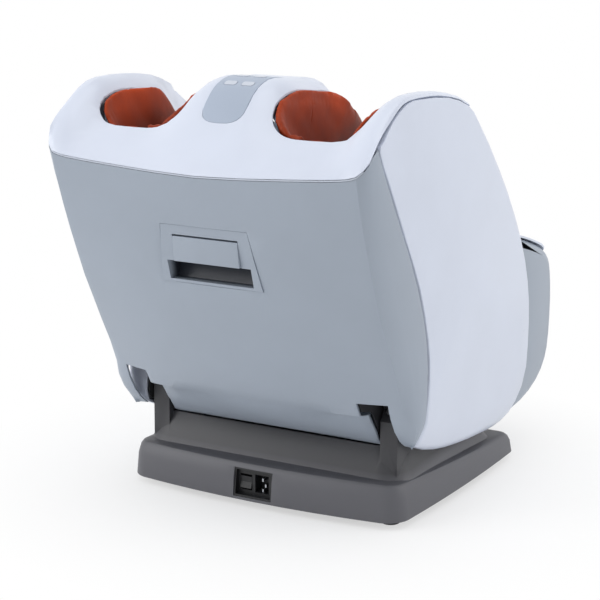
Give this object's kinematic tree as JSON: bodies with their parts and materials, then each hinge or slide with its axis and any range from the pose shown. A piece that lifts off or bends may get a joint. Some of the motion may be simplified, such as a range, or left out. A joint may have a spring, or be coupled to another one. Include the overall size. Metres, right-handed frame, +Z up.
{
  "type": "calf and foot massager",
  "caption": "Tilting calf-and-foot massager: two fabric-lined leg wells in a white and grey boot body on a dark plinth, with a carrying recess and release flap.",
  "frame": {"origin": "on the floor under the middle of the bounding box", "axes": "+Z up, +Y towards the toes, -Y towards the seated user and the rear panel, +X across the body to the right when seen from the user's side"},
  "size_m": [0.442, 0.6224, 0.5493],
  "materials": {
    "white": "satin",
    "grey": "satin",
    "slate": "matte",
    "black_plastic": "matte",
    "plate": "satin",
    "trim": "satin",
    "light_plastic": "matte",
    "steel": "brushed",
    "fabric": "knitted",
    "rubber": "matte",
    "board": "matte",
    "motor": "satin",
    "roller": "matte",
    "gear": "matte"
  },
  "bodies": {
    "stand": {"base_shell": "slate", "base_plate": "slate", "rubber_feet": "rubber", "inlet_housing": "black_plastic", "inlet_pins": "steel", "power_supply": "board", "left_pivot_bracket": "steel", "right_pivot_bracket": "steel", "pivot_pins": "steel", "brake_drum": "steel"},
    "rocker": {"rocker_switch": "black_plastic"},
    "release_flap": {"release_lever": "grey"},
    "shoe": {"brake_shoe": "rubber"},
    "sole_drive": {"sole_shaft": "steel", "sole_rollers": "roller", "sole_wheel": "gear"},
    "sole_screw": {"sole_worm": "steel"},
    "calf_drive": {"calf_shaft": "steel", "calf_discs": "roller", "calf_wheel": "gear"},
    "calf_screw": {"calf_worm": "steel"},
    "power_key": {"power_button": "trim"},
    "mode_key": {"mode_button": "trim"},
    "strength_key": {"strength_button": "trim"},
    "heat_key": {"heat_button": "trim"},
    "boots": {"chassis": "steel", "pivot_bushes": "black_plastic", "bottom_cover": "slate", "slot_walls": "slate", "back_panel": "grey", "panel_trim": "trim", "handle_housing": "grey", "left_side_cover": "white", "right_side_cover": "white", "top_cover": "white", "control_panel": "plate", "circuit_board": "board", "shin_cover": "white", "toe_box": "grey", "toe_cover": "white", "left_leg_shell": "light_plastic", "right_leg_shell": "light_plastic", "left_liner": "fabric", "right_liner": "fabric", "calf_airbags": "rubber", "sole_motor": "motor", "calf_motor": "motor", "bearing_blocks": "black_plastic", "air_pump": "black_plastic", "valve_block": "motor", "air_hoses": "rubber", "screws": "steel", "release_cable": "black_plastic", "zip_pull": "black_plastic"}
  },
  "joints": [
    {"name": "tilt", "type": "hinge", "parent": "stand", "child": "boots", "pos_m": [0, -0.095, 0.19], "axis": [1, 0, 0], "range_deg": [0, 15]},
    {"name": "rocker_tip", "type": "hinge", "parent": "stand", "child": "rocker", "pos_m": [-0.016, -0.1695, 0.031], "axis": [1, 0, 0], "range_deg": [0, 10]},
    {"name": "flap_hinge", "type": "hinge", "parent": "boots", "child": "release_flap", "pos_m": [0, -0.286, 0.364], "axis": [-1, 0, 0], "range_deg": [0, 12], "stiffness_Nm_per_rad": 0.8, "springref_deg": -8.59},
    {"name": "shoe_lift", "type": "slide", "parent": "boots", "child": "shoe", "axis": [0, 0, 1], "range_m": [0, 0.002]},
    {"name": "sole_turn", "type": "hinge", "parent": "boots", "child": "sole_drive", "pos_m": [0, 0.06, 0.101], "axis": [1, 0, 0], "continuous": true},
    {"name": "sole_worm_turn", "type": "hinge", "parent": "boots", "child": "sole_screw", "pos_m": [0, 0.06, 0.1305], "axis": [0, 1, 0], "continuous": true},
    {"name": "calf_turn", "type": "hinge", "parent": "boots", "child": "calf_drive", "pos_m": [0, -0.214, 0.29], "axis": [1, 0, 0], "continuous": true},
    {"name": "calf_worm_turn", "type": "hinge", "parent": "boots", "child": "calf_screw", "pos_m": [0, -0.1845, 0.29], "axis": [0, 0, 1], "continuous": true},
    {"name": "power_press", "type": "slide", "parent": "boots", "child": "power_key", "axis": [0, 0.4067, -0.9135], "range_m": [0, 0.001], "stiffness_N_per_m": 400, "springref_m": -0.0006},
    {"name": "mode_press", "type": "slide", "parent": "boots", "child": "mode_key", "axis": [0, 0.4067, -0.9135], "range_m": [0, 0.001], "stiffness_N_per_m": 400, "springref_m": -0.0006},
    {"name": "strength_press", "type": "slide", "parent": "boots", "child": "strength_key", "axis": [0, 0.0523, -0.9986], "range_m": [0, 0.001], "stiffness_N_per_m": 400, "springref_m": -0.0006},
    {"name": "heat_press", "type": "slide", "parent": "boots", "child": "heat_key", "axis": [0, 0.0523, -0.9986], "range_m": [0, 0.001], "stiffness_N_per_m": 400, "springref_m": -0.0006}
  ],
  "couplings": [
    {"joint": "sole_worm_turn", "follows": "sole_turn", "ratio": 30},
    {"joint": "calf_worm_turn", "follows": "calf_turn", "ratio": -30},
    {"joint": "shoe_lift", "follows": "flap_hinge", "m_per_rad": 0.0095}
  ]
}
